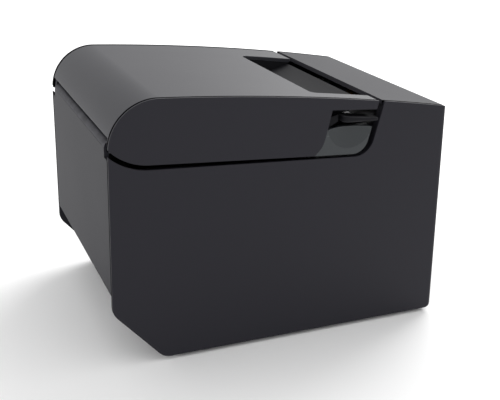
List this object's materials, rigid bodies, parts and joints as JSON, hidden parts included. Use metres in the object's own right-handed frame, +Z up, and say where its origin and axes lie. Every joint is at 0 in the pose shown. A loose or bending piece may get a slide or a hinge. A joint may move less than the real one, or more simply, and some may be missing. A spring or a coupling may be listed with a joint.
{
  "type": "receipt printer",
  "caption": "Desktop thermal receipt printer with a clamshell lid, drop-in roll bay, sprung print head, geared platen, automatic cutter and recessed rear connectors.",
  "frame": {"origin": "middle of the footprint, on the surface the printer stands on", "axes": "+Z up, -Y towards the user, +X to the user's right, +Y towards the connector side"},
  "size_m": [0.14, 0.199, 0.146],
  "materials": {
    "case_black": "fine moulded texture",
    "lid_black": "fine moulded texture, slight sheen",
    "inner_black": "smooth satin",
    "rubber_black": "matt rubber",
    "frame_steel": "galvanised sheet",
    "bright_steel": "ground and plated",
    "board_green": "solder mask",
    "component_black": "moulded",
    "capacitor_sleeve": "shrink sleeve",
    "port_shell": "tinned",
    "light_clear": "clear moulding",
    "gear_white": "natural acetal",
    "pinion_brass": "cut brass",
    "head_ceramic": "glazed",
    "head_aluminium": "extruded",
    "switch_black": "satin",
    "key_grey": "satin"
  },
  "bodies": {
    "base": {"base_tray": "case_black", "side_panel_left": "case_black", "side_panel_right": "case_black", "rear_panel": "case_black", "front_cover": "case_black", "roll_cradle": "inner_black", "rubber_feet": "rubber_black", "base_screws": "bright_steel", "frame_plate_left": "frame_steel", "frame_plate_right": "frame_steel", "frame_beam": "frame_steel", "frame_screws": "bright_steel", "lock_studs": "bright_steel", "feed_motor": "frame_steel", "idler_axle": "bright_steel", "head_springs": "bright_steel", "cutter_bed": "frame_steel", "cutter_motor": "frame_steel", "main_board": "board_green", "board_chips": "component_black", "board_capacitors": "capacitor_sleeve", "connector_plate": "frame_steel", "power_inlet": "component_black", "usb_port": "port_shell", "network_port": "port_shell", "drawer_port": "component_black", "bay_screws": "bright_steel", "control_board": "board_green", "light_pipes": "light_clear", "rocker_housing": "inner_black", "buzzer": "inner_black", "lid_switch": "inner_black", "sensor_block": "inner_black"},
    "lid": {"lid_skin": "lid_black", "lid_cheek_left": "case_black", "lid_cheek_right": "case_black", "grip_scoop": "inner_black", "lid_liner": "inner_black", "exit_guide": "inner_black", "platen_holder": "inner_black", "platen_bearings": "gear_white", "fixed_blade": "bright_steel", "hinge_pins": "bright_steel", "lid_screws": "bright_steel"},
    "latch": {"latch_shaft": "bright_steel", "latch_hooks": "frame_steel", "open_lever": "inner_black"},
    "platen": {"platen_rubber": "rubber_black", "platen_shaft": "bright_steel", "platen_gear": "gear_white"},
    "idler": {"idler_gear": "gear_white"},
    "feed_drive": {"feed_pinion": "pinion_brass"},
    "head": {"head_plate": "head_ceramic", "head_sink": "head_aluminium", "head_pivot_shaft": "bright_steel"},
    "blade": {"moving_blade": "bright_steel"},
    "cutter_drive": {"cutter_pinion": "pinion_brass"},
    "power_switch": {"power_rocker": "switch_black"},
    "feed_key": {"feed_button": "key_grey"},
    "roll_sensor": {"near_end_lever": "gear_white"}
  },
  "joints": [
    {"name": "lid_hinge", "type": "hinge", "parent": "base", "child": "lid", "pos_m": [0, 0.0962, 0.1214], "axis": [-1, 0, 0], "range_deg": [0, 80]},
    {"name": "latch_turn", "type": "hinge", "parent": "lid", "child": "latch", "pos_m": [-0.01, -0.014, 0.12099], "axis": [-1, 0, 0], "range_deg": [0, 6], "stiffness_Nm_per_rad": 0.5, "springref_deg": -5.73},
    {"name": "platen_spin", "type": "hinge", "parent": "lid", "child": "platen", "pos_m": [-0.0075, -0.0377, 0.10999], "axis": [1, 0, 0], "continuous": true},
    {"name": "idler_spin", "type": "hinge", "parent": "base", "child": "idler", "pos_m": [0.0445, -0.03574, 0.08697], "axis": [1, 0, 0], "continuous": true},
    {"name": "feed_motor_spin", "type": "hinge", "parent": "base", "child": "feed_drive", "pos_m": [0.0445, -0.04205, 0.06684], "axis": [1, 0, 0], "continuous": true},
    {"name": "head_tilt", "type": "hinge", "parent": "base", "child": "head", "pos_m": [-0.0075, -0.04453, 0.08331], "axis": [1, 0, 0], "range_deg": [0, 3], "stiffness_Nm_per_rad": 4, "springref_deg": -2.86, "deforming": ["head_springs"]},
    {"name": "blade_slide", "type": "slide", "parent": "base", "child": "blade", "axis": [0, 1, 0], "range_m": [0, 0.0042]},
    {"name": "cutter_spin", "type": "hinge", "parent": "base", "child": "cutter_drive", "pos_m": [0.0026, -0.0786, 0.12], "axis": [0, 0, 1], "range_deg": [-40.2, 0]},
    {"name": "power_rock", "type": "hinge", "parent": "base", "child": "power_switch", "pos_m": [0.048, -0.09371, 0.022], "axis": [1, 0, 0], "range_deg": [0, 10]},
    {"name": "feed_press", "type": "slide", "parent": "base", "child": "feed_key", "axis": [0, 1, 0], "range_m": [0, 0.0008], "stiffness_N_per_m": 600, "springref_m": -0.0005},
    {"name": "roll_sense", "type": "hinge", "parent": "base", "child": "roll_sensor", "pos_m": [-0.0546, 0.02, 0.05], "axis": [0, 0, 1], "range_deg": [0, 8], "stiffness_Nm_per_rad": 0.01, "springref_deg": -2.86}
  ],
  "couplings": [
    {"joint": "idler_spin", "follows": "platen_spin", "ratio": -0.53333},
    {"joint": "feed_motor_spin", "follows": "platen_spin", "ratio": 1.3333},
    {"joint": "cutter_spin", "follows": "blade_slide", "rad_per_m": -166.67}
  ]
}
